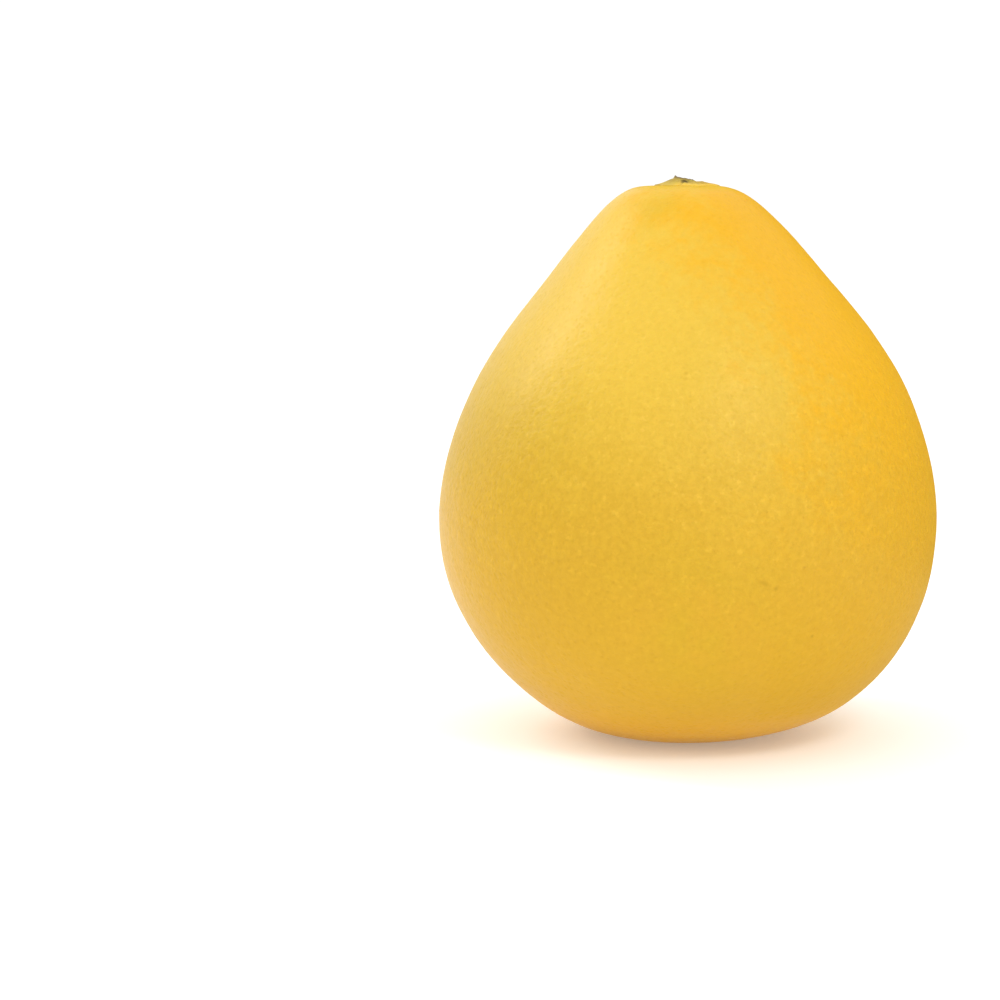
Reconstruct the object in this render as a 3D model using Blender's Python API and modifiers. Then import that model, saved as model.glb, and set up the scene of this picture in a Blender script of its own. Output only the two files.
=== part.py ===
"""A whole pomelo, pear-shaped, with the dry calyx and the cut stub of its stalk on the crown.

Metres, +Z up. The fruit stands on its broad end. The origin is the middle of the bottom of the fruit's
box, on the surface that carries it, and -Y is the side that faces the viewer.
"""
import math

import bmesh
import bpy
import numpy as np
from mathutils import Vector

# Rind outline, from the blossom end at the bottom to the stalk end at the top
STATIONS = (
    # radius, height, sideways drift of the middle
    (0.0000, -0.0015, -0.0022),  # the weight presses what would be below the table flat
    (0.0236, 0.0008, -0.0009),
    (0.0351, 0.0040, 0.0005),
    (0.0451, 0.0090, 0.0016),
    (0.0538, 0.0159, 0.0017),
    (0.0641, 0.0279, 0.0012),
    (0.0726, 0.0458, 0.0003),
    (0.0754, 0.0677, 0.0000),  # the widest place
    (0.0709, 0.0916, 0.0002),
    (0.0604, 0.1145, 0.0003),
    (0.0431, 0.1374, -0.0002),
    (0.0280, 0.1553, -0.0012),
    (0.0194, 0.1631, -0.0018),
    (0.0142, 0.1656, -0.0020),  # the edge of the crown
    (0.0105, 0.1661, -0.0017),
    (0.0060, 0.1662, -0.0012),  # the flat top that holds the calyx
    (0.0000, 0.1662, -0.0009),
)

# Soft swellings round the fruit: their count, how far they stand out, the heading of one of them in
# degrees from +X towards +Y, the height where they are strongest, and how far up and down they fade
SWELLS = (
    (2, 0.0006, 45, 0.055, 0.060),
    (3, 0.0008, 30, 0.095, 0.050),
    (6, 0.0006, -135, 0.138, 0.028),
)
SWELL_FADE_RADIUS = 0.030  # closer to the axis than this the swellings die away

# Short furrows that run out from under the calyx
FURROW_COUNT = 7
FURROW_DEPTH = 0.0003
FURROW_RADIUS = 0.0125
FURROW_SPREAD = 0.0045
FURROW_HEADING = math.radians(20)
CROWN_FROM_HEIGHT = 0.120

# The scar of the flower, a small pit in the middle of the flat spot
SCAR_RADIUS = 0.0060
SCAR_DEPTH = 0.0012

# How finely the rind is divided
RIND_STEPS = 76
SCAR_RINGS = 5
BODY_RING_SPACING = 0.0070
CROWN_RING_SPACING = 0.0030
CROWN_STRETCH = 0.030  # length of the outline, measured back from the crown's middle

# Touching pieces stay this far apart
GAP = 0.0003

# Calyx: a low dry star that lies on the crown round the stalk
LOBE_REACHES = (0.0110, 0.0092, 0.0098, 0.0088, 0.0096)
LOBE_HEADING = math.radians(8)
SINUS_RADIUS = 0.0070
CALYX_MIDDLE_THICKNESS = 0.0008
CALYX_TIP_THICKNESS = 0.0006
CALYX_EDGE_DROP = 0.0002
CALYX_SEAT_SHARE = 0.45  # the level middle of its top, as a share of the reach
CALYX_STEPS_PER_LOBE = 10
CALYX_RINGS = 6

# Stub: what is left of the stalk, cut at a slant
STUB_TOP_RADIUS = 0.0028
STUB_FOOT_RADIUS = 0.0039
STUB_SIDE_SHIFT = -0.0008  # along X, from the calyx's middle
STUB_HIGH_SIDE = 0.0015
STUB_LOW_SIDE = 0.0007
STUB_EDGE = 0.0003
STUB_STEPS = 28

RIND_COLOUR = (0.85, 0.50, 0.045, 1.0)
CALYX_COLOUR = (0.20, 0.15, 0.045, 1.0)
STUB_COLOUR = (0.10, 0.060, 0.025, 1.0)


def clear_scene():
    """Remove what the file opened with."""
    for old in list(bpy.data.objects):
        bpy.data.objects.remove(old, do_unlink=True)


def new_collection(name):
    """A collection for the fruit's pieces."""
    collection = bpy.data.collections.new(name)
    bpy.context.scene.collection.children.link(collection)
    return collection


def plain_material(name, colour, roughness):
    """A Principled material of one colour."""
    material = bpy.data.materials.new(name)
    material.use_nodes = True
    shader = material.node_tree.nodes["Principled BSDF"]
    shader.inputs["Base Color"].default_value = colour
    shader.inputs["Roughness"].default_value = roughness
    shader.inputs["Metallic"].default_value = 0.0
    material.diffuse_color = colour
    return material


def smooth_curve(knots, values, at):
    """Read a natural cubic spline through rows of values at the given places."""
    gaps = np.diff(knots)
    slopes = np.diff(values, axis=0) / gaps[:, None]
    spread = np.diag(2 * (gaps[:-1] + gaps[1:])) + np.diag(gaps[1:-1], 1) + np.diag(gaps[1:-1], -1)
    bends = np.zeros_like(values)
    bends[1:-1] = np.linalg.solve(spread, 6 * np.diff(slopes, axis=0))
    left = np.clip(np.searchsorted(knots, at) - 1, 0, len(gaps) - 1)
    gap = gaps[left][:, None]
    done = (at - knots[left])[:, None]
    rest = gap - done
    curved = (bends[left] * rest**3 + bends[left + 1] * done**3) / (6 * gap)
    from_left = (values[left] / gap - bends[left] * gap / 6) * rest
    from_right = (values[left + 1] / gap - bends[left + 1] * gap / 6) * done
    return curved + from_left + from_right


def rind_outline():
    """Radius, height and drift at each ring of the rind, from the bottom up."""
    stations = np.array(STATIONS)
    # One more station past each end, mirrored, makes the surface cross the axis level
    mirrored = np.array((-1, 1, 1))
    stations = np.vstack((stations[1] * mirrored, stations, stations[-2] * mirrored))
    steps = np.hypot(*np.diff(stations[:, :2], axis=0).T)
    knots = np.concatenate(([0.0], np.cumsum(steps)))
    first, last = knots[1], knots[-2]
    crown_start = last - CROWN_STRETCH
    body_rings = round((crown_start - first - SCAR_RADIUS) / BODY_RING_SPACING)
    crown_rings = round(CROWN_STRETCH / CROWN_RING_SPACING) + 1
    at = np.concatenate((
        np.linspace(first, first + SCAR_RADIUS, SCAR_RINGS),
        np.linspace(first + SCAR_RADIUS, crown_start, body_rings + 1)[1:-1],
        np.linspace(crown_start, last, crown_rings),
    ))
    outline = smooth_curve(knots, stations, at)
    outline[:, 1] = np.maximum(outline[:, 1], 0.0)
    outline[(0, -1), 0] = 0.0
    return outline


def turned_mesh(name, profile, steps):
    """Turn a profile of (radius, height) points, which runs down its outer side, about the Z axis."""
    mesh = bpy.data.meshes.new(name)
    points = [(radius, 0.0, height) for radius, height in profile]
    edges = [(i, i + 1) for i in range(len(points) - 1)]
    mesh.from_pydata(points, edges, [])
    turned = bpy.data.objects.new(name, mesh)
    bpy.context.scene.collection.objects.link(turned)
    screw = turned.modifiers.new("Turn", "SCREW")
    screw.steps = steps
    screw.render_steps = steps
    screw.use_merge_vertices = True
    screw.merge_threshold = 0.00001
    bpy.context.view_layer.update()
    evaluated = turned.evaluated_get(bpy.context.evaluated_depsgraph_get())
    result = bpy.data.meshes.new_from_object(evaluated)
    bpy.data.objects.remove(turned, do_unlink=True)
    return result


def read_points(mesh):
    """The mesh's points as rows of x, y and z."""
    flat = np.empty(len(mesh.vertices) * 3)
    mesh.vertices.foreach_get("co", flat)
    return flat.reshape(-1, 3)


def write_points(mesh, points):
    """Move the mesh's points."""
    mesh.vertices.foreach_set("co", points.ravel())
    mesh.update()


def piece(name, mesh, material, collection, parent):
    """A named object with its material, parented to the fruit's middle."""
    mesh.name = name
    mesh.materials.clear()
    mesh.materials.append(material)
    mesh.shade_smooth()
    mesh.set_sharp_from_angle(angle=math.radians(50))
    made = bpy.data.objects.new(name, mesh)
    made.parent = parent
    collection.objects.link(made)
    return made


def bell(distance, spread):
    """One in the middle, fading to nothing past about twice the spread."""
    return np.exp(-((distance / spread) ** 2))


def swollen(radius, height, heading):
    """How far the soft swellings push the rind outwards."""
    push = np.zeros_like(radius)
    for count, reach, crest, strongest, spread in SWELLS:
        wave = np.cos(count * (heading - math.radians(crest)))
        push += reach * wave * bell(height - strongest, spread)
    return push * np.minimum(radius / SWELL_FADE_RADIUS, 1.0)


def furrowed(radius, height, heading):
    """How far the short furrows round the calyx sink the crown."""
    wave = 0.5 - 0.5 * np.cos(FURROW_COUNT * (heading - FURROW_HEADING))
    depth = FURROW_DEPTH * wave * bell(radius - FURROW_RADIUS, FURROW_SPREAD)
    return depth * (height > CROWN_FROM_HEIGHT)


def scarred(radius, height):
    """How far the flower's scar is sunk into the flat spot."""
    share = np.minimum(radius / SCAR_RADIUS, 1.0)
    return SCAR_DEPTH * (0.5 + 0.5 * np.cos(math.pi * share)) * (height < SCAR_DEPTH)


def make_fruit(collection, parent, outline):
    """The whole fruit, which grew as one piece."""
    down_the_side = outline[::-1, :2]
    mesh = turned_mesh("fruit", down_the_side, RIND_STEPS)
    x, y, height = read_points(mesh).T
    radius = np.hypot(x, y)
    heading = np.arctan2(y, x)
    from_rings = np.hypot(radius[:, None] - outline[:, 0], height[:, None] - outline[:, 1])
    drift = outline[from_rings.argmin(axis=1), 2]
    wide = radius + swollen(radius, height, heading)
    raised = height - furrowed(radius, height, heading) + scarred(radius, height)
    write_points(mesh, np.column_stack((wide * np.cos(heading) + drift, wide * np.sin(heading), raised)))
    material = plain_material("rind", RIND_COLOUR, 0.45)
    return piece("fruit", mesh, material, collection, parent)


def lobe_reach(heading):
    """How far the calyx reaches at a heading: tips of unlike length with sinuses between them."""
    count = len(LOBE_REACHES)
    turn = (heading - LOBE_HEADING) / math.tau * count
    nearest = np.round(turn).astype(int) % count
    tip = np.array(LOBE_REACHES)[nearest]
    to_tip = np.abs(turn - np.round(turn)) * 2
    return SINUS_RADIUS + (tip - SINUS_RADIUS) * (1 - to_tip) ** 0.8


def calyx_profile():
    """The calyx's section with its reach as 1: down over the top, round the edge and back below."""
    shares = np.linspace(0.0, 1.0, CALYX_RINGS)
    falling = np.clip((shares - CALYX_SEAT_SHARE) / (1 - CALYX_SEAT_SHARE), 0.0, 1.0)
    top = CALYX_MIDDLE_THICKNESS + (CALYX_TIP_THICKNESS - CALYX_MIDDLE_THICKNESS) * falling
    top[-1] -= CALYX_EDGE_DROP
    over = list(zip(shares, top))
    below = [(share, 0.0) for share in shares[::-1]]
    below[0] = (shares[-1], CALYX_EDGE_DROP)
    return over + below


def make_calyx(collection, parent, outline):
    """The calyx: its underside follows the crown, and its edge is a star."""
    steps = CALYX_STEPS_PER_LOBE * len(LOBE_REACHES)
    mesh = turned_mesh("calyx", calyx_profile(), steps)
    x, y, thickness = read_points(mesh).T
    heading = np.arctan2(y, x)
    radius = np.hypot(x, y) * lobe_reach(heading)
    crown_radius, crown_height, crown_drift = outline[outline[:, 1] > CROWN_FROM_HEIGHT][::-1].T
    height = np.interp(radius, crown_radius, crown_height) + GAP + thickness
    drift = np.interp(radius, crown_radius, crown_drift)
    write_points(mesh, np.column_stack((radius * np.cos(heading) + drift, radius * np.sin(heading), height)))
    material = plain_material("calyx", CALYX_COLOUR, 0.8)
    return piece("calyx", mesh, material, collection, parent)


def make_stub(collection, parent, outline):
    """The stub: flared at its foot, higher on its -X side, with the sharp edge of the cut eased."""
    foot = outline[-1, 1] + GAP + CALYX_MIDDLE_THICKNESS + GAP
    bm = bmesh.new()
    bmesh.ops.create_cone(
        bm, cap_ends=True, segments=STUB_STEPS,
        radius1=STUB_FOOT_RADIUS, radius2=STUB_TOP_RADIUS, depth=STUB_HIGH_SIDE,
    )
    slant = (STUB_HIGH_SIDE - STUB_LOW_SIDE) / (2 * STUB_TOP_RADIUS)
    middle_height = (STUB_HIGH_SIDE + STUB_LOW_SIDE) / 2
    top_edges = [edge for edge in bm.edges if all(v.co.z > 0 for v in edge.verts)]
    for vertex in bm.verts:
        at_top = vertex.co.z > 0
        vertex.co.z = middle_height - slant * vertex.co.x if at_top else 0.0
    bmesh.ops.bevel(bm, geom=top_edges, offset=STUB_EDGE, segments=2, profile=0.5, affect="EDGES")
    mesh = bpy.data.meshes.new("stem_stub")
    bm.to_mesh(mesh)
    bm.free()
    material = plain_material("stem_wood", STUB_COLOUR, 0.85)
    stub = piece("stem_stub", mesh, material, collection, parent)
    stub.location = (outline[-1, 2] + STUB_SIDE_SHIFT, 0.0, foot)
    return stub


def main():
    """Build the fruit and set the middle of its box over the origin."""
    clear_scene()
    collection = new_collection("pomelo")
    middle = bpy.data.objects.new("pomelo_middle", None)
    collection.objects.link(middle)
    outline = rind_outline()
    fruit = make_fruit(collection, middle, outline)
    make_calyx(collection, middle, outline)
    make_stub(collection, middle, outline)
    points = read_points(fruit.data)
    box_middle = (points.min(axis=0) + points.max(axis=0)) / 2
    middle.location = Vector((-box_middle[0], -box_middle[1], 0.0))
    bpy.context.view_layer.update()


main()
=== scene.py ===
# %% [markdown]
# # A whole pomelo
# This lesson dresses the plain solids of a pomelo: a pear-shaped citrus fruit about 15 cm across, with the
# dry calyx and the cut stub of its stalk on the crown. The solids come from a shared frame, so every length
# here is in metres, +Z is up, and the fruit stands on z = 0 with its front towards -Y.
#
# Three pieces are made. The rind is a Geometry Nodes tree that turns an outline into a closed skin and
# presses oil glands into it. The calyx and the stub are turned shapes that formulas make uneven.

import math

import bmesh
import bpy
import numpy as np
from mathutils import Matrix, Vector


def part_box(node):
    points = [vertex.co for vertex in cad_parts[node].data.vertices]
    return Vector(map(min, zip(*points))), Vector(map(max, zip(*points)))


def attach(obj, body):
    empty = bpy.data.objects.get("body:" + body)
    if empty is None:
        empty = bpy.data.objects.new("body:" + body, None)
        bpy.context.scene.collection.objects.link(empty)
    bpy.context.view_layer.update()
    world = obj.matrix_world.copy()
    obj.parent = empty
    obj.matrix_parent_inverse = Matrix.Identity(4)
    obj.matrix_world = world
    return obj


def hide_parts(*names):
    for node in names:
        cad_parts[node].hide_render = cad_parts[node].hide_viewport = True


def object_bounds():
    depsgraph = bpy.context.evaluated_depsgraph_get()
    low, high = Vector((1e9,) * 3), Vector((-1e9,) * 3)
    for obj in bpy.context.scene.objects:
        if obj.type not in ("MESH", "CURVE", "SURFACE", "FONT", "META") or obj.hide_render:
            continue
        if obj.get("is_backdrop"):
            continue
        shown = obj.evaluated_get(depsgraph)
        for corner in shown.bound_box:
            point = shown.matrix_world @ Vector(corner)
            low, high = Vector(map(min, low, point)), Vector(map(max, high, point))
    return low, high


def in_mm(lengths, digits=1):
    """Lengths in millimetres, rounded to be read."""
    return [round(length * 1000, digits) for length in lengths]


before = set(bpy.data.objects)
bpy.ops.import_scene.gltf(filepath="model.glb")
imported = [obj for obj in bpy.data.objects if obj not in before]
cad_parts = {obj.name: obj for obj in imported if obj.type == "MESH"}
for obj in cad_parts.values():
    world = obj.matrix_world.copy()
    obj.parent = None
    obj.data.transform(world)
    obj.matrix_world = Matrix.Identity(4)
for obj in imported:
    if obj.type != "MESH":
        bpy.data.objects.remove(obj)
solid_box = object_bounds()
fruit_low, fruit_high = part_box("fruit")
calyx_low, calyx_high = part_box("calyx")
stub_low, stub_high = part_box("stem_stub")
stub_middle = (stub_low + stub_high) / 2
print("solids:", sorted(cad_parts))
print("fruit, mm:", in_mm(fruit_high - fruit_low))
print("calyx, mm:", in_mm(calyx_high - calyx_low))
print("stub, mm:", in_mm(stub_high - stub_low))

# %% [markdown]
# ## Camera
# A long lens from close to table height shows the fruit nearly in profile, as the photo does. The picture
# keeps the fruit right of its middle, so the camera doesn't look at the fruit but at a point beside it.
# Moving that point is simpler than shifting the lens, and it leaves other views of the scene alone.

# %% Camera
CAMERA_RISE = math.radians(6)
CAMERA_DISTANCE = 0.845
CAMERA_LENS_MM = 100
FRUIT_MIDDLE = Vector((-0.0012, 0.0005, 0.085))
LOOK_BESIDE = Vector((-0.0554, -0.0054, -0.0137))

camera_data = bpy.data.cameras.new("camera")
camera_data.lens = CAMERA_LENS_MM
camera = bpy.data.objects.new("camera", camera_data)
bpy.context.scene.collection.objects.link(camera)
back = Vector((0, -math.cos(CAMERA_RISE), math.sin(CAMERA_RISE)))
camera.location = FRUIT_MIDDLE + back * CAMERA_DISTANCE
gaze = FRUIT_MIDDLE + LOOK_BESIDE - camera.location
camera.rotation_mode = "QUATERNION"
camera.rotation_quaternion = gaze.to_track_quat("-Z", "Y")
bpy.context.scene.camera = camera
print("camera, mm:", in_mm(camera.location, 0))

# %% [markdown]
# ## Writing nodes as expressions
# Node trees get long when every node is added and linked by hand. Here a small class wraps one output
# socket, and Python's own operators add the Math nodes, so `1 - mask * 0.5` reads as it would on paper. Any
# other node comes from one method. The same two classes serve Geometry Nodes and materials, because both
# kinds of tree share the Math nodes.

# %% Wires and nodes
class Wire:
    """One output of a node, on which Python's operators work as on a number."""

    def __init__(self, socket):
        self.socket = socket

    def maths(self, operation, *others):
        """A Math node on this wire and others."""
        inputs = dict(enumerate((self, *others)))
        return Nodes(self.socket.id_data).node("ShaderNodeMath", {"operation": operation}, inputs)

    def vector(self, operation, other=None, output="Vector", scale=None):
        """A Vector Math node on this wire and another."""
        inputs = {0: self}
        if other is not None:
            inputs[1] = other
        if scale is not None:
            inputs["Scale"] = scale
        nodes = Nodes(self.socket.id_data)
        return nodes.node("ShaderNodeVectorMath", {"operation": operation}, inputs, output)

    def swapped(self, operation, first):
        """A Math node with a plain number before this wire."""
        inputs = {0: first, 1: self}
        return Nodes(self.socket.id_data).node("ShaderNodeMath", {"operation": operation}, inputs)

    def __add__(self, other):
        return self.maths("ADD", other)

    def __sub__(self, other):
        return self.maths("SUBTRACT", other)

    def __mul__(self, other):
        return self.maths("MULTIPLY", other)

    def __truediv__(self, other):
        return self.maths("DIVIDE", other)

    def __rsub__(self, other):
        return self.swapped("SUBTRACT", other)

    def __rtruediv__(self, other):
        return self.swapped("DIVIDE", other)

    def __neg__(self):
        return self.maths("MULTIPLY", -1.0)

    __radd__ = __add__
    __rmul__ = __mul__


class Nodes:
    """A node tree with one method that adds any node and joins it up."""

    def __init__(self, tree):
        self.tree = tree

    @staticmethod
    def pick(sockets, key):
        """The socket with that place, identifier or name."""
        if isinstance(key, int):
            return sockets[key]
        named = [socket for socket in sockets if key in (socket.identifier, socket.name)]
        return next((socket for socket in named if socket.enabled), named[0])

    def node(self, kind, settings=None, inputs=None, output=0):
        """Add a node, choose its settings, then fill its sockets with wires or plain values."""
        made = self.tree.nodes.new(kind)
        for name, value in (settings or {}).items():
            setattr(made, name, value)
        for key, value in (inputs or {}).items():
            self.join(value, self.pick(made.inputs, key))
        return Wire(self.pick(made.outputs, output)) if made.outputs else None

    def join(self, value, socket):
        """Link a wire to a socket, or set the socket's own value."""
        if isinstance(value, Wire):
            self.tree.links.new(value.socket, socket)
        else:
            socket.default_value = value

    def smooth_step(self, value, start, end):
        """0 before start and 1 past end, smooth between; start may be the larger."""
        inputs = {"Value": value, "From Min": start, "From Max": end}
        return self.node("ShaderNodeMapRange", {"interpolation_type": "SMOOTHSTEP"}, inputs, "Result")

    def bell(self, value, middle, spread):
        """1 in the middle, fading to nothing past about twice the spread."""
        away = (value - middle) / spread
        return (-(away * away)).maths("EXPONENT")

    def xyz(self, vector):
        """A vector's three parts."""
        split = self.node("ShaderNodeSeparateXYZ", inputs={"Vector": vector})
        outputs = split.socket.node.outputs
        return tuple(Wire(outputs[axis]) for axis in "XYZ")

    def combine(self, x, y, z):
        """A vector from three parts."""
        return self.node("ShaderNodeCombineXYZ", inputs={"X": x, "Y": y, "Z": z})


# %% [markdown]
# ## Trees with named sizes
# A Geometry Nodes tree is worth more when its sizes are named inputs: the next fruit only needs other
# numbers. A modifier finds an input by its identifier, not its name, so a helper looks the identifiers up,
# sets the values before the object is first evaluated, and keeps the result as a plain mesh.

# %% Geometry tree helpers
INPUT_KINDS = {int: "NodeSocketInt", float: "NodeSocketFloat", bpy.types.Material: "NodeSocketMaterial"}


def geometry_tree(name, sizes):
    """A new tree with a named input for each size, and a wire from each input."""
    tree = bpy.data.node_groups.new(name, "GeometryNodeTree")
    tree.interface.new_socket("Geometry", in_out="INPUT", socket_type="NodeSocketGeometry")
    tree.interface.new_socket("Geometry", in_out="OUTPUT", socket_type="NodeSocketGeometry")
    for label, value in sizes.items():
        kind = next(kind for known, kind in INPUT_KINDS.items() if isinstance(value, known))
        tree.interface.new_socket(label, in_out="INPUT", socket_type=kind)
    entry = tree.nodes.new("NodeGroupInput")
    return Nodes(tree), {socket.name: Wire(socket) for socket in entry.outputs if socket.name}


def grown_mesh(name, tree, source, sizes):
    """Run a tree on a source mesh and return what it makes."""
    holder = bpy.data.objects.new(name, source)
    bpy.context.scene.collection.objects.link(holder)
    modifier = holder.modifiers.new(name, "NODES")
    modifier.node_group = tree
    for item in tree.interface.items_tree:
        if item.in_out == "INPUT" and item.name in sizes:
            modifier[item.identifier] = sizes[item.name]
    evaluated = holder.evaluated_get(bpy.context.evaluated_depsgraph_get())
    mesh = bpy.data.meshes.new_from_object(evaluated)
    bpy.data.objects.remove(holder, do_unlink=True)
    return mesh


def read_points(mesh):
    """A mesh's points as rows of x, y and z."""
    flat = np.empty(len(mesh.vertices) * 3)
    mesh.vertices.foreach_get("co", flat)
    return flat.reshape(-1, 3)


def triangle_count(mesh):
    """How many triangles the mesh's faces come to."""
    mesh.calc_loop_triangles()
    return len(mesh.loop_triangles)


# %% [markdown]
# ## The outline
# A pomelo of this kind is a turned shape with a lean: a broad bottom, a straight sloping neck and a small,
# almost flat crown for the calyx. A few stations say how wide it is at each height and how far its middle
# has drifted sideways, and a natural cubic spline joins them. Its curvature is continuous, so no ring shows
# in the sheen. What the spline would put below the table is pressed flat: that is the small spot on which
# the fruit rests.

# %% Outline
STATIONS = (
    # radius, height, sideways drift of the middle
    (0.0000, -0.0015, -0.0022),
    (0.0236, 0.0008, -0.0009),
    (0.0351, 0.0040, 0.0005),
    (0.0451, 0.0090, 0.0016),
    (0.0538, 0.0159, 0.0017),
    (0.0641, 0.0279, 0.0012),
    (0.0726, 0.0458, 0.0003),
    (0.0754, 0.0677, 0.0000),
    (0.0709, 0.0916, 0.0002),
    (0.0604, 0.1145, 0.0003),
    (0.0431, 0.1374, -0.0002),
    (0.0280, 0.1553, -0.0012),
    (0.0194, 0.1631, -0.0018),
    (0.0142, 0.1656, -0.0020),
    (0.0105, 0.1661, -0.0017),
    (0.0060, 0.1662, -0.0012),
    (0.0000, 0.1662, -0.0009),
)
OUTLINE_POINTS = 1500


def smooth_curve(knots, values, at):
    """Read a natural cubic spline through rows of values at the given places."""
    gaps = np.diff(knots)
    slopes = np.diff(values, axis=0) / gaps[:, None]
    spread = np.diag(2 * (gaps[:-1] + gaps[1:])) + np.diag(gaps[1:-1], 1) + np.diag(gaps[1:-1], -1)
    bends = np.zeros_like(values)
    bends[1:-1] = np.linalg.solve(spread, 6 * np.diff(slopes, axis=0))
    left = np.clip(np.searchsorted(knots, at) - 1, 0, len(gaps) - 1)
    gap = gaps[left][:, None]
    done = (at - knots[left])[:, None]
    rest = gap - done
    curved = (bends[left] * rest**3 + bends[left + 1] * done**3) / (6 * gap)
    from_left = (values[left] / gap - bends[left] * gap / 6) * rest
    from_right = (values[left + 1] / gap - bends[left + 1] * gap / 6) * done
    return curved + from_left + from_right


def outline_points(count):
    """Radius, height and drift at even steps along the outline, from the bottom up."""
    stations = np.array(STATIONS)
    mirrored = np.array((-1, 1, 1))
    stations = np.vstack((stations[1] * mirrored, stations, stations[-2] * mirrored))
    steps = np.hypot(*np.diff(stations[:, :2], axis=0).T)
    knots = np.concatenate(([0.0], np.cumsum(steps)))
    points = smooth_curve(knots, stations, np.linspace(knots[1], knots[-2], count))
    points[:, 1] = np.maximum(points[:, 1], 0.0)
    points[(0, -1), 0] = 0.0
    return points


outline = outline_points(OUTLINE_POINTS)
outline_length = np.hypot(*np.diff(outline[:, :2], axis=0).T).sum()
print("outline length, mm:", in_mm((outline_length,)))

# %% [markdown]
# ## The rind's shape
# A turned mesh crowds its faces at the poles and starves the waist. A cube whose points are pushed out to a
# ball has six even grids and no poles, so this tree starts from one. Each point's angle from the top says
# how far along the outline it sits, and its heading says which way it faces. The outline travels in as a
# string of points that hold radius, drift and height, and a Sample Curve node reads it.
#
# Soft swellings, short furrows round the calyx and the pit of the flower's scar are formulas on radius,
# height and heading, the same ones as in the solid, so the fine skin lies on the plain one.

# %% Sizes of the rind
SWELLS = (
    # count, how far they stand out, heading of one in degrees, strongest height, spread in height
    (2, 0.0006, 45, 0.055, 0.060),
    (3, 0.0008, 30, 0.095, 0.050),
    (6, 0.0006, -135, 0.138, 0.028),
)
CUBE_EDGE_POINTS = 129
rind_sizes = {
    "Edge points": CUBE_EDGE_POINTS,
    "Swell fade radius": 0.030,
    "Furrow count": 7.0,
    "Furrow depth": 0.0003,
    "Furrow radius": 0.0125,
    "Furrow spread": 0.0045,
    "Furrow heading": math.radians(20),
    "Crown from height": 0.120,
    "Scar radius": 0.0060,
    "Scar depth": 0.0012,
    "Ripple depth": 0.00022,
    "Ripple size": 0.016,
    "Gland spacing": 0.0024,
    "Gland radius": 0.0013,
    "Gland depth": 0.00009,
    "Seed": 7,
}

# %% A cube pushed out to a ball, laid on the outline
def ball_directions(nodes, edge_points):
    """A cube's grids with the direction in which each point faces from the middle."""
    counts = {f"Vertices {axis}": edge_points for axis in "XYZ"}
    cube = nodes.node("GeometryNodeMeshCube", inputs={"Size": (2.0, 2.0, 2.0), **counts}, output="Mesh")
    at = nodes.xyz(nodes.node("GeometryNodeInputPosition"))
    even = nodes.combine(*((part * (math.pi / 4)).maths("TANGENT") for part in at))
    return cube, even.vector("NORMALIZE")


def read_outline(nodes, strand, direction):
    """Radius, drift and height of the outline at each point, with the heading it faces."""
    x, y, z = nodes.xyz(direction)
    share = z.maths("ARCCOSINE") * (1 / math.pi)
    curve = nodes.node("GeometryNodeMeshToCurve", inputs={"Mesh": strand})
    settings = {"mode": "FACTOR", "use_all_curves": True, "data_type": "FLOAT_VECTOR"}
    inputs = {"Curves": curve, "Factor": share}
    sampled = nodes.node("GeometryNodeSampleCurve", settings, inputs, "Position")
    return *nodes.xyz(sampled), y.maths("ARCTAN2", x)


def shape_rind(nodes, size, radius, drift, height, heading):
    """The place of each point once swellings, furrows and the scar have had their say."""
    push = 0.0
    for count, reach, crest, strongest, spread in SWELLS:
        wave = (heading * count - math.radians(crest * count)).maths("COSINE")
        push = wave * nodes.bell(height, strongest, spread) * reach + push
    wide = radius + push * (radius / size["Swell fade radius"]).maths("MINIMUM", 1.0)
    on_crown = height.maths("GREATER_THAN", size["Crown from height"])
    turns = (heading - size["Furrow heading"]) * size["Furrow count"]
    wave = 0.5 - turns.maths("COSINE") * 0.5
    furrow = nodes.bell(radius, size["Furrow radius"], size["Furrow spread"]) * wave * size["Furrow depth"]
    near_scar = (radius / size["Scar radius"]).maths("MINIMUM", 1.0)
    scar = ((near_scar * math.pi).maths("COSINE") * 0.5 + 0.5) * size["Scar depth"]
    low = height.maths("LESS_THAN", size["Scar depth"])
    raised = height - furrow * on_crown + scar * low
    across = heading.maths("COSINE") * wide + drift
    return nodes.combine(across, heading.maths("SINE") * wide, raised)


# %% [markdown]
# ## Ripples and oil glands
# Up close the rind isn't smooth. It has broad ripples a centimetre or two long and a fine orange peel of
# oil glands. Points scattered by the Poisson rule never crowd, which is how glands grow, and each point of
# the skin sinks by how near it is to one. The depth is a tenth of a millimetre at most: enough to break up
# the sheen. The glands too small for a mesh of this size are left to the material. The flat spot stays
# flat, so the relief fades out just above the table.

# %% Ripples and glands
RELIEF_FROM_HEIGHT = 0.0004
RELIEF_FULL_HEIGHT = 0.0040
RIPPLE_DETAIL = 2.0
RIPPLE_ROUGHNESS = 0.45
GLANDS_PER_SQUARE_METRE = 400000.0  # more than the spacing allows, so the spacing decides


def sink(nodes, geometry, depth):
    """Move a surface inwards by a depth."""
    inward = nodes.node("GeometryNodeInputNormal").vector("SCALE", scale=-depth)
    return nodes.node("GeometryNodeSetPosition", inputs={"Geometry": geometry, "Offset": inward})


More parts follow.
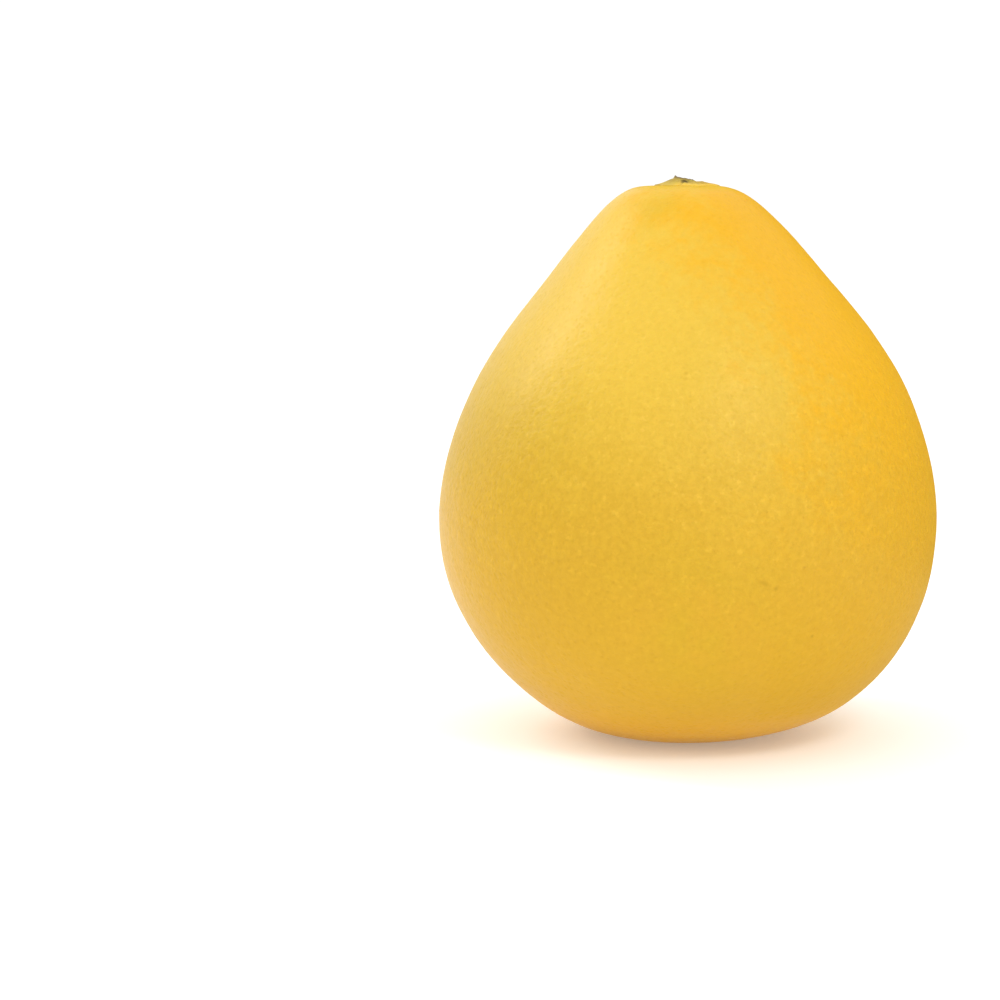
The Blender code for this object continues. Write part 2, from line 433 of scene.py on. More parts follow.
def add_relief(nodes, size, skin):
    """Ripple the skin and press its glands in."""
    height = nodes.xyz(nodes.node("GeometryNodeInputPosition"))[2]
    shown = nodes.smooth_step(height, RELIEF_FROM_HEIGHT, RELIEF_FULL_HEIGHT)
    scale = 1.0 / size["Ripple size"]
    inputs = {"Scale": scale, "Detail": RIPPLE_DETAIL, "Roughness": RIPPLE_ROUGHNESS}
    ripples = nodes.node("ShaderNodeTexNoise", None, inputs, "Fac")
    skin = sink(nodes, skin, (ripples - 0.5) * size["Ripple depth"] * shown * 2.0)
    inputs = {
        "Mesh": skin,
        "Distance Min": size["Gland spacing"],
        "Density Max": GLANDS_PER_SQUARE_METRE,
        "Seed": size["Seed"],
    }
    settings = {"distribute_method": "POISSON"}
    glands = nodes.node("GeometryNodeDistributePointsOnFaces", settings, inputs, "Points")
    settings = {"target_element": "POINTS"}
    away = nodes.node("GeometryNodeProximity", settings, {"Geometry": glands}, "Distance")
    gland = nodes.smooth_step(away, size["Gland radius"], 0.0)
    settings = {"data_type": "FLOAT", "domain": "POINT"}
    inputs = {"Geometry": skin, "Name": "gland", "Value": gland}
    skin = nodes.node("GeometryNodeStoreNamedAttribute", settings, inputs)
    return sink(nodes, skin, gland * size["Gland depth"] * shown)


# %% [markdown]
# ## Growing the rind
# The parts join up into one tree. It ends in Realize Instances and Set Material, so that what leaves it is
# one plain mesh with its finish. The solid was moved so that its box stands over the origin, and the skin
# is moved by the same rule: its box's middle goes to the solid's.

# %% Rind tree
def rind_tree(sizes):
    """The whole tree: outline in, finished skin out."""
    nodes, size = geometry_tree("rind", sizes)
    cube, direction = ball_directions(nodes, size["Edge points"])
    radius, drift, height, heading = read_outline(nodes, size["Geometry"], direction)
    place = shape_rind(nodes, size, radius, drift, height, heading)
    skin = nodes.node("GeometryNodeSetPosition", inputs={"Geometry": cube, "Position": place})
    skin = add_relief(nodes, size, skin)
    skin = nodes.node("GeometryNodeSetShadeSmooth", inputs={0: skin})
    skin = nodes.node("GeometryNodeRealizeInstances", inputs={0: skin})
    skin = nodes.node("GeometryNodeSetMaterial", inputs={"Geometry": skin, "Material": size["Material"]})
    nodes.node("NodeGroupOutput", inputs={"Geometry": skin})
    return nodes.tree


def outline_strand(points):
    """The outline as a string of points, from the top down: radius, drift, height."""
    mesh = bpy.data.meshes.new("outline")
    rows = points[::-1][:, (0, 2, 1)]
    mesh.from_pydata(rows.tolist(), [(i, i + 1) for i in range(len(rows) - 1)], [])
    return mesh


def finish_piece(name, mesh, node):
    """Make a mesh a piece of the fruit that stands for one solid."""
    piece = bpy.data.objects.new(name, mesh)
    mesh.name = name
    bpy.context.scene.collection.objects.link(piece)
    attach(piece, "root")
    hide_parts(node)
    print(name, "has", triangle_count(mesh), "triangles")
    return piece


rind_material = bpy.data.materials.new("pomelo rind")
rind_sizes["Material"] = rind_material
rind_mesh = grown_mesh("rind", rind_tree(rind_sizes), outline_strand(outline), rind_sizes)
points = read_points(rind_mesh)
skin_low = Vector(points.min(axis=0))
skin_high = Vector(points.max(axis=0))
to_solid = ((fruit_low + fruit_high) - (skin_low + skin_high)) / 2
to_solid.z = fruit_low.z - skin_low.z
rind_mesh.transform(Matrix.Translation(to_solid))
rind = finish_piece("rind", rind_mesh, "fruit")
print("moved to the solid by, mm:", in_mm(to_solid, 2))

# %% [markdown]
# ## Finishes
# Every finish here is made of nodes that read Object coordinates, so a pattern stays on the fruit from any
# side. A few helpers say in one line what the finishes need again and again: plain values for a shader, soft
# noise, cells that are each unlike the next, a blend of two colours, a spot that fades out round a place, a
# bump, and a value that was kept on the mesh.

# %% Helpers for finishes
def new_material(material):
    """A material's tree with its Principled shader, and a wire of Object coordinates."""
    material.use_nodes = True
    nodes = Nodes(material.node_tree)
    shader = material.node_tree.nodes["Principled BSDF"]
    return nodes, shader, nodes.node("ShaderNodeTexCoord", output="Object")


def set_plain(shader, **values):
    """Give sockets of a shader plain values; a name's underscores stand for spaces."""
    for name, value in values.items():
        shader.inputs[name.replace("_", " ")].default_value = value


def noise(nodes, at, scale, detail=2.0, roughness=0.5):
    """Soft noise about one half."""
    inputs = {"Vector": at, "Scale": scale, "Detail": detail, "Roughness": roughness}
    return nodes.node("ShaderNodeTexNoise", None, inputs, "Fac")


def cells(nodes, at, per_metre):
    """How far each place is from the middle of its cell, in cells, and a random number for each cell."""
    inputs = {"Vector": at, "Scale": per_metre}
    away = nodes.node("ShaderNodeTexVoronoi", None, inputs, "Distance")
    return away, nodes.xyz(nodes.node("ShaderNodeTexVoronoi", None, inputs, "Color"))[0]


def mix_colours(nodes, factor, first, second, blend="MIX"):
    """Blend two colours by a factor."""
    settings = {"data_type": "RGBA", "blend_type": blend, "clamp_factor": True}
    inputs = {"Factor_Float": factor, "A_Color": first, "B_Color": second}
    return nodes.node("ShaderNodeMix", settings, inputs, "Result_Color")


def spot(nodes, at, place, radius):
    """1 at a place, fading to 0 at a distance from it."""
    away = at.vector("DISTANCE", place, "Value")
    return nodes.smooth_step(away, radius, 0.0)


def kept_value(nodes, name):
    """A value that was kept for each point of the mesh."""
    return nodes.node("ShaderNodeAttribute", {"attribute_name": name}, None, "Fac")


def bump(nodes, height, distance, strength):
    """A normal that makes a height show as relief."""
    inputs = {"Height": height, "Distance": distance, "Strength": strength}
    return nodes.node("ShaderNodeBump", None, inputs, "Normal")


def front_point(x, z):
    """The place on the front of the rind that far to the right and that high."""
    return tuple(rind.ray_cast((x, fruit_low.y * 2, z), (0.0, 1.0, 0.0))[1])


bpy.context.view_layer.update()
print("front of the waist, mm:", in_mm(front_point(0.0, FRUIT_MIDDLE.z)))

# %% [markdown]
# ## Rind: broad colour
# Ripe rind is never one colour. The side that hung in the sun turns orange. The left side is painted a
# duller,
# darker colour: a painted shade where less light falls. The broad end is painted deeper and darker than the
# neck, a painted shade of light that comes mostly from above, and the foot is painted lighter again, a
# painted light against the shade where the fruit meets the table. The crown is rich again, and a breath of
# green is left low down and by the stalk. Clouds a centimetre wide and flecks of a few millimetres drift
# across all of it. How orange a place is comes from how far it lies along the direction of the sun, made
# uneven by noise of three sizes.

# %% Broad colour of the rind
RIND_YELLOW = (0.715, 0.464, 0.044, 1.0)
RIND_ORANGE = (0.760, 0.406, 0.006, 1.0)
# painted shade: the left side's duller, darker colour stands in for less light there
RIND_PAINTED_SHADE = (0.550, 0.350, 0.012, 1.0)
# painted shade: the broad end's deeper, darker colour stands in for light that comes mostly from above
RIND_PAINTED_LOW_SHADE = (0.625, 0.352, 0.012, 1.0)
RIND_GREENISH = (0.580, 0.375, 0.010, 1.0)
RIND_CROWN = (0.690, 0.435, 0.004, 1.0)
DRIFT_PER_METRE = 15.0
CLOUDS_PER_METRE = 100.0
FLECKS_PER_METRE = 340.0
PATCHES_PER_METRE = 55.0
SUN_DIRECTION = (0.90, 0.15, 0.40)
SUN_REACH = (0.038, 0.078)
SUN_SHIFTS = (0.07, 0.040, 0.030)  # how far drift, clouds and flecks shift an edge, here and below
PAINTED_SHADE_SIDE_X = (-0.010, -0.056)
PAINTED_SHADE_SIDE_SHIFTS = (0.016, 0.012)
PAINTED_SHADE_BELOW = (0.130, 0.088)
PAINTED_SHADE_BELOW_SHIFT = 0.012
PAINTED_SHADE_ABOVE_SHARE = 0.3
PAINTED_SHADE_STRENGTH = 0.95
LOW_SHADE_BELOW = (0.120, 0.048)
LOW_SHADE_SHIFTS = (0.025, 0.02)
LOW_SHADE_STRENGTH = 0.9
# painted light: the foot is lighter and more orange, against the shade where it meets the table
FOOT_PAINTED_LIGHT = (0.020, 0.002)
RICH_CROWN = (0.1638, 0.1660)
RICH_STRENGTH = 0.8
PATCHES_RANGE = (0.30, 0.62)
GREEN_PLACES = (
    # x, z, radius, strength
    (0.003, 0.045, 0.042, 0.50),
    (-0.012, 0.160, 0.016, 0.50),
)


def shifted(value, uneven, shifts):
    """A value moved to and fro by noises, each by its own reach."""
    for wire, shift in zip(uneven, shifts):
        value = value + wire * shift
    return value


def rind_colour(nodes, at):
    """Yellow to orange with the sun; painted shade left and low, painted light at the foot; greenish in
    places.
    """
    across, _, height = nodes.xyz(at)
    drift = noise(nodes, at, DRIFT_PER_METRE) - 0.5
    clouds = noise(nodes, at, CLOUDS_PER_METRE, 3.0) - 0.5
    flecks = noise(nodes, at, FLECKS_PER_METRE, 2.0, 0.6) - 0.5
    uneven = (drift, clouds, flecks)
    sun = shifted(at.vector("DOT_PRODUCT", SUN_DIRECTION, "Value"), uneven, SUN_SHIFTS)
    colour = mix_colours(nodes, nodes.smooth_step(sun, *SUN_REACH), RIND_YELLOW, RIND_ORANGE)
    # painted shade on the left side, with less of it above the shoulder
    shaded = nodes.smooth_step(shifted(across, uneven, PAINTED_SHADE_SIDE_SHIFTS), *PAINTED_SHADE_SIDE_X)
    low = nodes.smooth_step(height + clouds * PAINTED_SHADE_BELOW_SHIFT, *PAINTED_SHADE_BELOW)
    shaded = shaded * (low * (1 - PAINTED_SHADE_ABOVE_SHARE) + PAINTED_SHADE_ABOVE_SHARE)
    colour = mix_colours(nodes, shaded * PAINTED_SHADE_STRENGTH, colour, RIND_PAINTED_SHADE)
    # painted shade, darker towards the bottom
    deep = nodes.smooth_step(shifted(height, uneven, LOW_SHADE_SHIFTS), *LOW_SHADE_BELOW)
    colour = mix_colours(nodes, deep * LOW_SHADE_STRENGTH, colour, RIND_PAINTED_LOW_SHADE)
    # painted light at the foot; the crown turns a richer colour
    for limits, rich in ((FOOT_PAINTED_LIGHT, RIND_ORANGE), (RICH_CROWN, RIND_CROWN)):
        colour = mix_colours(nodes, nodes.smooth_step(height, *limits) * RICH_STRENGTH, colour, rich)
    patchy = nodes.smooth_step(noise(nodes, at, PATCHES_PER_METRE, 3.0), *PATCHES_RANGE)
    for right, up, radius, strength in GREEN_PLACES:
        green = spot(nodes, at, front_point(right, up), radius) * patchy * strength
        colour = mix_colours(nodes, green, colour, RIND_GREENISH)
    return colour


# %% [markdown]
# ## Rind: oil glands
# Each gland is a round pore a little over a millimetre wide, slightly darker and greener than the skin
# between, and no two are quite alike. A Voronoi texture is made of such cells: its distance tells how near
# the middle of a cell is, and its random colour tells one cell from the next. The coordinates are nudged by
# noise first, so that the cells aren't too neat. Smaller glands sit between the large ones.

# %% Oil glands
GLAND_TINT = (0.76, 0.74, 0.55, 1.0)
MOTTLE_TINT = (0.90, 0.885, 0.76, 1.0)
# painted glints: a tint that makes pale, whitish flecks
GLINT_FLECK_TINT = (1.09, 1.11, 1.40, 1.0)
GLANDS_PER_METRE = 640.0
SMALL_GLANDS_PER_METRE = 1250.0
GLAND_SIZE = (0.50, 0.12)  # in cells, from the rim of a gland to its floor
FAINTEST_GLAND = 0.3
NUDGE = 0.0005
NUDGES_PER_METRE = 500.0


def glands(nodes, at, per_metre):
    """How deep in a gland each place is, with glands of unlike strength."""
    away, unlike = cells(nodes, at, per_metre)
    return nodes.smooth_step(away, *GLAND_SIZE) * (unlike * (1 - FAINTEST_GLAND) + FAINTEST_GLAND)


def rind_glands(nodes, at):
    """Large glands, with small ones between them."""
    inputs = {"Vector": at, "Scale": NUDGES_PER_METRE, "Detail": 1.0}
    shake = nodes.node("ShaderNodeTexNoise", None, inputs, "Color")
    shake = shake.vector("SUBTRACT", (0.5, 0.5, 0.5)).vector("SCALE", scale=NUDGE)
    nudged = at.vector("ADD", shake)
    return glands(nodes, nudged, GLANDS_PER_METRE), glands(nodes, nudged, SMALL_GLANDS_PER_METRE)


# %% [markdown]
# ## Rind: marks
# A picked fruit carries small marks of its life on the tree: a scuff from a branch, a pinprick, two faint
# upright scratches below the crown, and sparse russet freckles. The named marks sit where the photo shows
# them. The blossom end, which no photo of a standing fruit shows, keeps the corky scar of the flower.

# %% Marks on the rind
MARK_COLOUR = (0.46, 0.262, 0.006, 1.0)
FRECKLE_COLOUR = (0.42, 0.200, 0.020, 1.0)
CORK_COLOUR = (0.34, 0.220, 0.090, 1.0)
FRECKLES_PER_METRE = 150.0
FRECKLE_SIZE = (0.085, 0.03)  # in cells
FRECKLED_CELLS = (0.72, 0.95)  # only cells whose random number is this high have one
FRECKLE_STRENGTH = 0.28
SCAR_EDGE = (1.05, 0.70)  # shares of the scar's radius between which the cork begins
SCAR_RAGGED = 0.0030
MARKS = (
    # x, z, radius, strength
    (0.0205, 0.0569, 0.0010, 0.45),
    (0.0214, 0.0567, 0.0011, 0.55),
    (0.0223, 0.0562, 0.0010, 0.50),
    (0.0232, 0.0558, 0.0009, 0.35),
    (0.0249, 0.0549, 0.0011, 0.68),
    (0.0356, 0.0399, 0.0009, 0.70),
    (-0.0006, 0.1143, 0.0010, 0.45),
    (-0.0008, 0.1129, 0.0010, 0.35),
    (0.0006, 0.1081, 0.0008, 0.24),
    (0.0006, 0.1068, 0.0008, 0.20),
)


def add_marks(nodes, at, colour):
    """Scuffs, freckles and the scar of the flower over the rind's colour."""
    for x, z, radius, strength in MARKS:
        mark = spot(nodes, at, front_point(x, z), radius) * strength
        colour = mix_colours(nodes, mark, colour, MARK_COLOUR)
    away, unlike = cells(nodes, at, FRECKLES_PER_METRE)
    freckle = nodes.smooth_step(away, *FRECKLE_SIZE) * nodes.smooth_step(unlike, *FRECKLED_CELLS)
    colour = mix_colours(nodes, freckle * FRECKLE_STRENGTH, colour, FRECKLE_COLOUR)
    ragged = (noise(nodes, at, 700.0, 3.0) - 0.5) * SCAR_RAGGED
    scar_middle = (to_solid.x + outline[0, 2], to_solid.y, 0.0)
    from_scar = at.vector("DISTANCE", scar_middle, "Value") + ragged
    cork = nodes.smooth_step(from_scar, *(share * rind_sizes["Scar radius"] for share in SCAR_EDGE))
    return mix_colours(nodes, cork, colour, CORK_COLOUR), cork


# %% [markdown]
# ## Rind: putting it together
# Mottles of a few millimetres and the glands darken the colour by a tint that multiplies it, and sparse pale
# flecks lighten it: painted glints, like those the rims of the glands give. Tints multiply, so they show
# alike on yellow and on orange, and most at the waist. The stored gland value of the mesh darkens its real
# dimples a touch, so that form and colour agree. The rind has a soft satin shine, duller in the glands and
# quite dull on the cork. A trace of light passes through the outer skin, which keeps the shaded side warm.

# %% Rind material
WAIST_HEIGHT = 0.080
WAIST_SPREAD = 0.042
MOTTLES_PER_METRE = 560.0
MOTTLE_RANGE = (0.36, 0.64)
MOTTLE_STRENGTH = (0.50, 0.25)  # what the waist adds, and what every place has; so for the next two
GLINT_FLECKS_PER_METRE = 450.0
GLINT_FLECK_RANGE = (0.57, 0.70)
GLINT_FLECK_STRENGTH = (0.70, 0.20)
SPECKLE_STRENGTH = (0.60, 0.55)
RIND_ROUGHNESS = 0.40
CORK_ROUGHER = 0.35
RIND_BUMP = 0.00010


def tint_more_at_waist(nodes, mask, waist, strength, colour, tint):
    """Multiply a colour by a tint where the mask is, most at the waist."""
    at_waist, everywhere = strength
    return mix_colours(nodes, mask * (waist * at_waist + everywhere), colour, tint, "MULTIPLY")


nodes, shader, at = new_material(rind_material)
large_glands, small_glands = rind_glands(nodes, at)
dimples = kept_value(nodes, "gland")
waist = nodes.bell(nodes.xyz(at)[2], WAIST_HEIGHT, WAIST_SPREAD)
mottle = nodes.smooth_step(noise(nodes, at, MOTTLES_PER_METRE, 4.0, 0.68), *MOTTLE_RANGE)
# painted glints: where the pale flecks lighten the colour
flecks = nodes.smooth_step(noise(nodes, at, GLINT_FLECKS_PER_METRE, 3.0, 0.55), *GLINT_FLECK_RANGE)
speckle = large_glands * 0.22 + small_glands * 0.08 + dimples * 0.06
colour = rind_colour(nodes, at)
colour = tint_more_at_waist(nodes, mottle, waist, MOTTLE_STRENGTH, colour, MOTTLE_TINT)
colour = tint_more_at_waist(nodes, flecks, waist, GLINT_FLECK_STRENGTH, colour, GLINT_FLECK_TINT)
colour = tint_more_at_waist(nodes, speckle, waist, SPECKLE_STRENGTH, colour, GLAND_TINT)
colour, cork = add_marks(nodes, at, colour)
nodes.join(colour, shader.inputs["Base Color"])
uneven = (noise(nodes, at, 260.0, 3.0) - 0.5) * 0.14
roughness = large_glands * 0.10 + cork * CORK_ROUGHER + uneven + RIND_ROUGHNESS
nodes.join(roughness, shader.inputs["Roughness"])
fine = noise(nodes, at, 1900.0, 2.0)
relief = fine * 0.25 - large_glands - small_glands * 0.40 - mottle * waist * 1.2
nodes.join(bump(nodes, relief, RIND_BUMP, 0.55), shader.inputs["Normal"])
set_plain(shader, Specular_IOR_Level=0.24, Subsurface_Weight=0.10)
set_plain(shader, Subsurface_Radius=(1.0, 0.55, 0.12), Subsurface_Scale=0.0025)
print("nodes in the rind's finish:", len(rind_material.node_tree.nodes))

# %% [markdown]
# ## Calyx shape
# The calyx is what is left of the flower's cup: five short lobes, tough and dry at the tips, that lie on the
# crown and close round the stalk in a raised collar. Its form follows rules, so it isn't sculpted: a section
# is turned with a Screw modifier, and formulas then move every point. They give the star, the collar, a
# midrib and two side veins to a lobe, seams between lobes, wrinkles and curled tips. The underside follows
# the crown, furrows included, a little way inside the rind, and the lobes thin out towards their edge, so
# the star looks grown and not laid on.

# %% Sizes of the calyx
LOBE_REACHES = (0.0110, 0.0092, 0.0098, 0.0088, 0.0096)
LOBE_CURLS = (0.00010, 0.00050, 0.00025, 0.00000, 0.00000)
LOBE_HEADING = math.radians(8)
LOBE_POINT = 0.8  # below 1 a lobe is rounder, above 1 more pointed
LOBE_RAGGED = ((23, 1, 0.014), (41, 2, 0.010))  # count, turn and reach of each wave
SINUS_RADIUS = 0.0070  # where two lobes part
CALYX_MIDDLE_LIFT = 0.0009  # how far the top stands above the rind near the stalk
CALYX_EDGE_LIFT = 0.00016  # and at the edge
CALYX_SEAT_SHARE = 0.45  # up to this share of its reach the top stays at its full height
CALYX_SINK = 0.0003  # how far the underside lies inside the rind
CALYX_STEPS = 240
CALYX_RINGS = 38
COLLAR_RADIUS = 0.0040
COLLAR_HEIGHT = 0.0006
COLLAR_SPREAD = 0.0020
COLLAR_LEAN = 0.70  # higher and broader on the left, where the stub is tall, than on the right
COLLAR_KNOBS = ((5, 2.3, 0.12), (11, 2.1, 0.08))
UNDER_STUB = (0.0012, 0.0030)  # the collar rises between these radii, hidden by the stub
RELIEF_FROM = (0.0036, 0.0050)  # ribs, veins and wrinkles begin between these radii
RIB_HEIGHT = 0.00024
RIB_SPREAD = 0.00045
VEIN_HEIGHT = 0.00010
VEIN_SPREAD = 0.00030
VEIN_ASIDE = 0.42  # 0 is the midrib and 1 the seam
SEAM_DEPTH = 0.00018
SEAM_SPREAD = 0.00045
SEAMS_FROM = (0.0044, 0.0058)
WRINKLE_HEIGHT = 0.00004
WRINKLE_COUNT = 67
WRINKLE_WANDER = 2.5
WRINKLE_SLANT = 900  # turn for each metre outwards
HOLLOW_HEADING = math.radians(-83)  # a dark gap at the foot of the stalk, on the front
HOLLOW_DEPTH = 0.0008
HOLLOW_WIDTH = 0.0011
HOLLOW_REACH = 0.0009


# %% Turned meshes and values kept on them
def turned_mesh(name, profile, steps):
    """Turn a profile of (radius, height) points, which runs down its outer side, about the Z axis."""
    mesh = bpy.data.meshes.new(name)
    edges = [(i, i + 1) for i in range(len(profile) - 1)]
    mesh.from_pydata([(radius, 0.0, height) for radius, height in profile], edges, [])
    turned = bpy.data.objects.new(name, mesh)
    bpy.context.scene.collection.objects.link(turned)
    screw = turned.modifiers.new("turn", "SCREW")
    screw.steps = steps
    screw.render_steps = steps
    screw.use_merge_vertices = True
    screw.merge_threshold = 0.00001
    evaluated = turned.evaluated_get(bpy.context.evaluated_depsgraph_get())
    result = bpy.data.meshes.new_from_object(evaluated)
    bpy.data.objects.remove(turned, do_unlink=True)
    result.shade_smooth()
    return result


def write_points(mesh, x, y, z):
    """Move the mesh's points."""
    mesh.vertices.foreach_set("co", np.column_stack((x, y, z)).ravel())
    mesh.update()


def keep_values(mesh, **rows):
    """Keep numbers for each point of the mesh, where a material can read them by name."""
    for name, row in rows.items():
        attribute = mesh.attributes.new(name, "FLOAT", "POINT")
        attribute.data.foreach_set("value", np.asarray(row, dtype=np.float32))


def bell(away, spread):
    """1 where away is 0, fading to nothing past about twice the spread."""
    return np.exp(-((away / spread) ** 2))


def ease(value, start, end):
    """0 before start and 1 past end, smooth between; start may be the larger."""
    share = np.clip((value - start) / (end - start), 0.0, 1.0)
    return share * share * (3 - 2 * share)


def turn_from(heading, other):
    """The angle between two headings, from minus half a turn to half a turn."""
    return (heading - other + math.pi) % math.tau - math.pi


def waves(heading, rows):
    """The sum of waves round the middle, each with its count, turn and height."""
    return sum(height * np.sin(count * heading + turn) for count, turn, height in rows)


# %% Calyx
def crown_at(radius, heading):
    """Height and drift of the rind under the calyx, furrows included."""
    rings = outline[outline[:, 1] > rind_sizes["Crown from height"]][::-1]
    height = np.interp(radius, rings[:, 0], rings[:, 1])
    drift = np.interp(radius, rings[:, 0], rings[:, 2])
    turns = (heading - rind_sizes["Furrow heading"]) * rind_sizes["Furrow count"]
    furrow = bell(radius - rind_sizes["Furrow radius"], rind_sizes["Furrow spread"])
    return height - rind_sizes["Furrow depth"] * furrow * (0.5 - 0.5 * np.cos(turns)), drift


def lobe_at(heading):
    """Which lobe a heading falls in, how far aside of its midrib from -1 to 1, and its reach there."""
    turn = (heading - LOBE_HEADING) / math.tau * len(LOBE_REACHES)
    lobe = np.round(turn).astype(int) % len(LOBE_REACHES)
    aside = (turn - np.round(turn)) * 2
    tip = np.array(LOBE_REACHES)[lobe]
    reach = SINUS_RADIUS + (tip - SINUS_RADIUS) * (1 - np.abs(aside)) ** LOBE_POINT
    return lobe, aside, reach * (1 + waves(heading, LOBE_RAGGED) * (1 - np.abs(aside)))


def calyx_top(share):
    """How far the calyx's top stands above the rind at a share of its reach."""
    return np.interp(share, (CALYX_SEAT_SHARE, 1.0), (CALYX_MIDDLE_LIFT, CALYX_EDGE_LIFT))


def calyx_profile():
    """Shares of the reach with height: out over the top, round the edge and back below."""
    out = np.linspace(0.0, 0.985, CALYX_RINGS)
    back = np.linspace(0.97, 0.0, CALYX_RINGS // 3)
    edge = [(1.0, CALYX_EDGE_LIFT * level) for level in (0.80, 0.50, 0.20)]
    return list(zip(out, calyx_top(out))) + edge + [(share, 0.0) for share in back]


def calyx_relief(radius, heading, aside, share):
    """How far the top stands out, with its ribs and seams: also veins, wrinkles, collar and hollow."""
    half_lobe = radius * math.pi / len(LOBE_REACHES)
    from_rib = np.abs(aside) * half_lobe
    on_flank = ease(radius, *RELIEF_FROM)
    rib = bell(from_rib, RIB_SPREAD) * (1 - share**3) * on_flank
    vein = bell(from_rib - VEIN_ASIDE * half_lobe, VEIN_SPREAD) * (1 - share**2) * on_flank
    seam = bell(half_lobe - from_rib, SEAM_SPREAD) * ease(radius, *SEAMS_FROM)
    wander = WRINKLE_WANDER * np.sin(3 * heading) + WRINKLE_SLANT * radius
    wrinkles = np.sin(WRINKLE_COUNT * heading + wander) * on_flank
    spread = COLLAR_SPREAD * (1 - COLLAR_LEAN / 2 * np.cos(heading))
    collar = bell(np.maximum(radius - COLLAR_RADIUS, 0.0), spread) * ease(radius, *UNDER_STUB)
    collar = collar * (1 + waves(heading, COLLAR_KNOBS) - COLLAR_LEAN * np.cos(heading))
    hollow = bell(turn_from(heading, HOLLOW_HEADING) * radius, HOLLOW_WIDTH)
    hollow = hollow * bell(radius - COLLAR_RADIUS, HOLLOW_REACH)
    raised = RIB_HEIGHT * rib + VEIN_HEIGHT * vein + WRINKLE_HEIGHT * wrinkles + COLLAR_HEIGHT * collar
    return raised - SEAM_DEPTH * seam - HOLLOW_DEPTH * hollow, rib, seam


def make_calyx():
    """The calyx as a mesh, with what its finish needs kept on its points."""
    mesh = turned_mesh("calyx", calyx_profile(), CALYX_STEPS)
    across, along, above = read_points(mesh).T
    heading = np.arctan2(along, across)
    share = np.hypot(across, along)
    lobe, aside, reach = lobe_at(heading)
    radius = share * reach
    level = np.clip(above / calyx_top(share), 0.0, 1.0)
    relief, rib, seam = calyx_relief(radius, heading, aside, share)
    past_sinus = ease(radius, SINUS_RADIUS * 0.9, max(LOBE_REACHES))
    curl = np.array(LOBE_CURLS)[lobe] * past_sinus * (1 - np.abs(aside))
    height, drift = crown_at(radius, heading)
    height = height + above - (1 - level) * CALYX_SINK + level * relief + curl
    write_points(mesh, radius * np.cos(heading) + drift, radius * np.sin(heading), height)
    keep_values(mesh, share=share, rib=rib, seam=seam, lift=relief * level / COLLAR_HEIGHT)
    mesh.transform(Matrix.Translation(to_solid))
    return mesh


calyx_material = bpy.data.materials.new("calyx")
calyx_mesh = make_calyx()
calyx_mesh.materials.append(calyx_material)
finish_piece("calyx_star", calyx_mesh, "calyx")

# %% [markdown]
# ## Stub shape
# The fruit is cut from the tree with a millimetre or two of stalk. The stub is round with shallow flutes,
# flares where it joins the calyx, and is cut at a slant. Its cut face shows a ring of bark, wood with growth
# rings and drying cracks, and a sunken pith. It is turned and then moved by formulas, as the calyx is: level
# says how far up the side a point is, and 1 is the cut face.

# %% Sizes of the stub
STUB_TOP_RADIUS = 0.0028
STUB_FOOT_RADIUS = 0.0058
STUB_LOW_SIDE = 0.0002  # how high the low side of the cut stands
STUB_SINK = 0.0010  # how far the foot goes down inside the calyx
STUB_FLARE = 1.25
STUB_STEPS = 128
FACE_RINGS = 24
SIDE_RINGS = 15
FLUTES = ((7, 0.6, 0.030), (17, 1.3, 0.014))  # count, turn, depth as a share of the radius
RIM_WAVES = ((9, 2, 0.00006),)  # count, turn, height
LIP_HEIGHT = 0.0004  # a splinter left standing on the high side
LIP_SPREAD = 0.50
LIP_FROM = (0.70, 0.95)
BARK_HEIGHT = 0.00010
BARK_SHARE = 0.90
BARK_SPREAD = 0.07
GROWTH_RINGS = 44.0  # radians of wave from the middle to the rim
GROWTH_RING_HEIGHT = 0.000015
PITH_DEPTH = 0.00032
PITH_EDGE = (0.30, 0.12)
CRACKS = ((0.5, 0.85), (1.6, 0.60), (2.3, 0.80), (3.9, 0.70), (4.6, 0.50), (5.7, 0.82))  # heading, end
CRACK_DEPTH = 0.00014
CRACK_WIDTH = 0.00010
CRACK_FADE = 0.15
CRACKS_FROM = (0.25, 0.40)


# %% Stub
def stub_profile():
    """Shares of the radius with levels: over the cut face, round its rim, down the bark and in below."""
    face = [(share, 1.0) for share in np.linspace(0.0, 0.93, FACE_RINGS)]
    rim = [(0.975, 0.985), (1.0, 0.94)]
    side = [(1.0, level) for level in np.linspace(0.88, 0.0, SIDE_RINGS)]
    return face + rim + side + [(0.5, -0.1), (0.0, -0.1)]


def cut_face_relief(share, heading):
    """How far the cut face stands out, with its bark, rings and pith, and where its cracks are."""
    radius = share * STUB_TOP_RADIUS
    bark = BARK_HEIGHT * bell(share - BARK_SHARE, BARK_SPREAD)
    rings = GROWTH_RING_HEIGHT * np.sin(share * GROWTH_RINGS)
    pith = PITH_DEPTH * ease(share, *PITH_EDGE)
    cracks = sum(
        bell(turn_from(heading, crack) * radius, CRACK_WIDTH) * ease(share, end, end - CRACK_FADE)
        for crack, end in CRACKS
    )
    cracks = cracks * ease(share, *CRACKS_FROM)
    lip = LIP_HEIGHT * bell(turn_from(heading, math.pi), LIP_SPREAD) * ease(share, *LIP_FROM)
    return bark + rings - pith - CRACK_DEPTH * cracks + lip, cracks


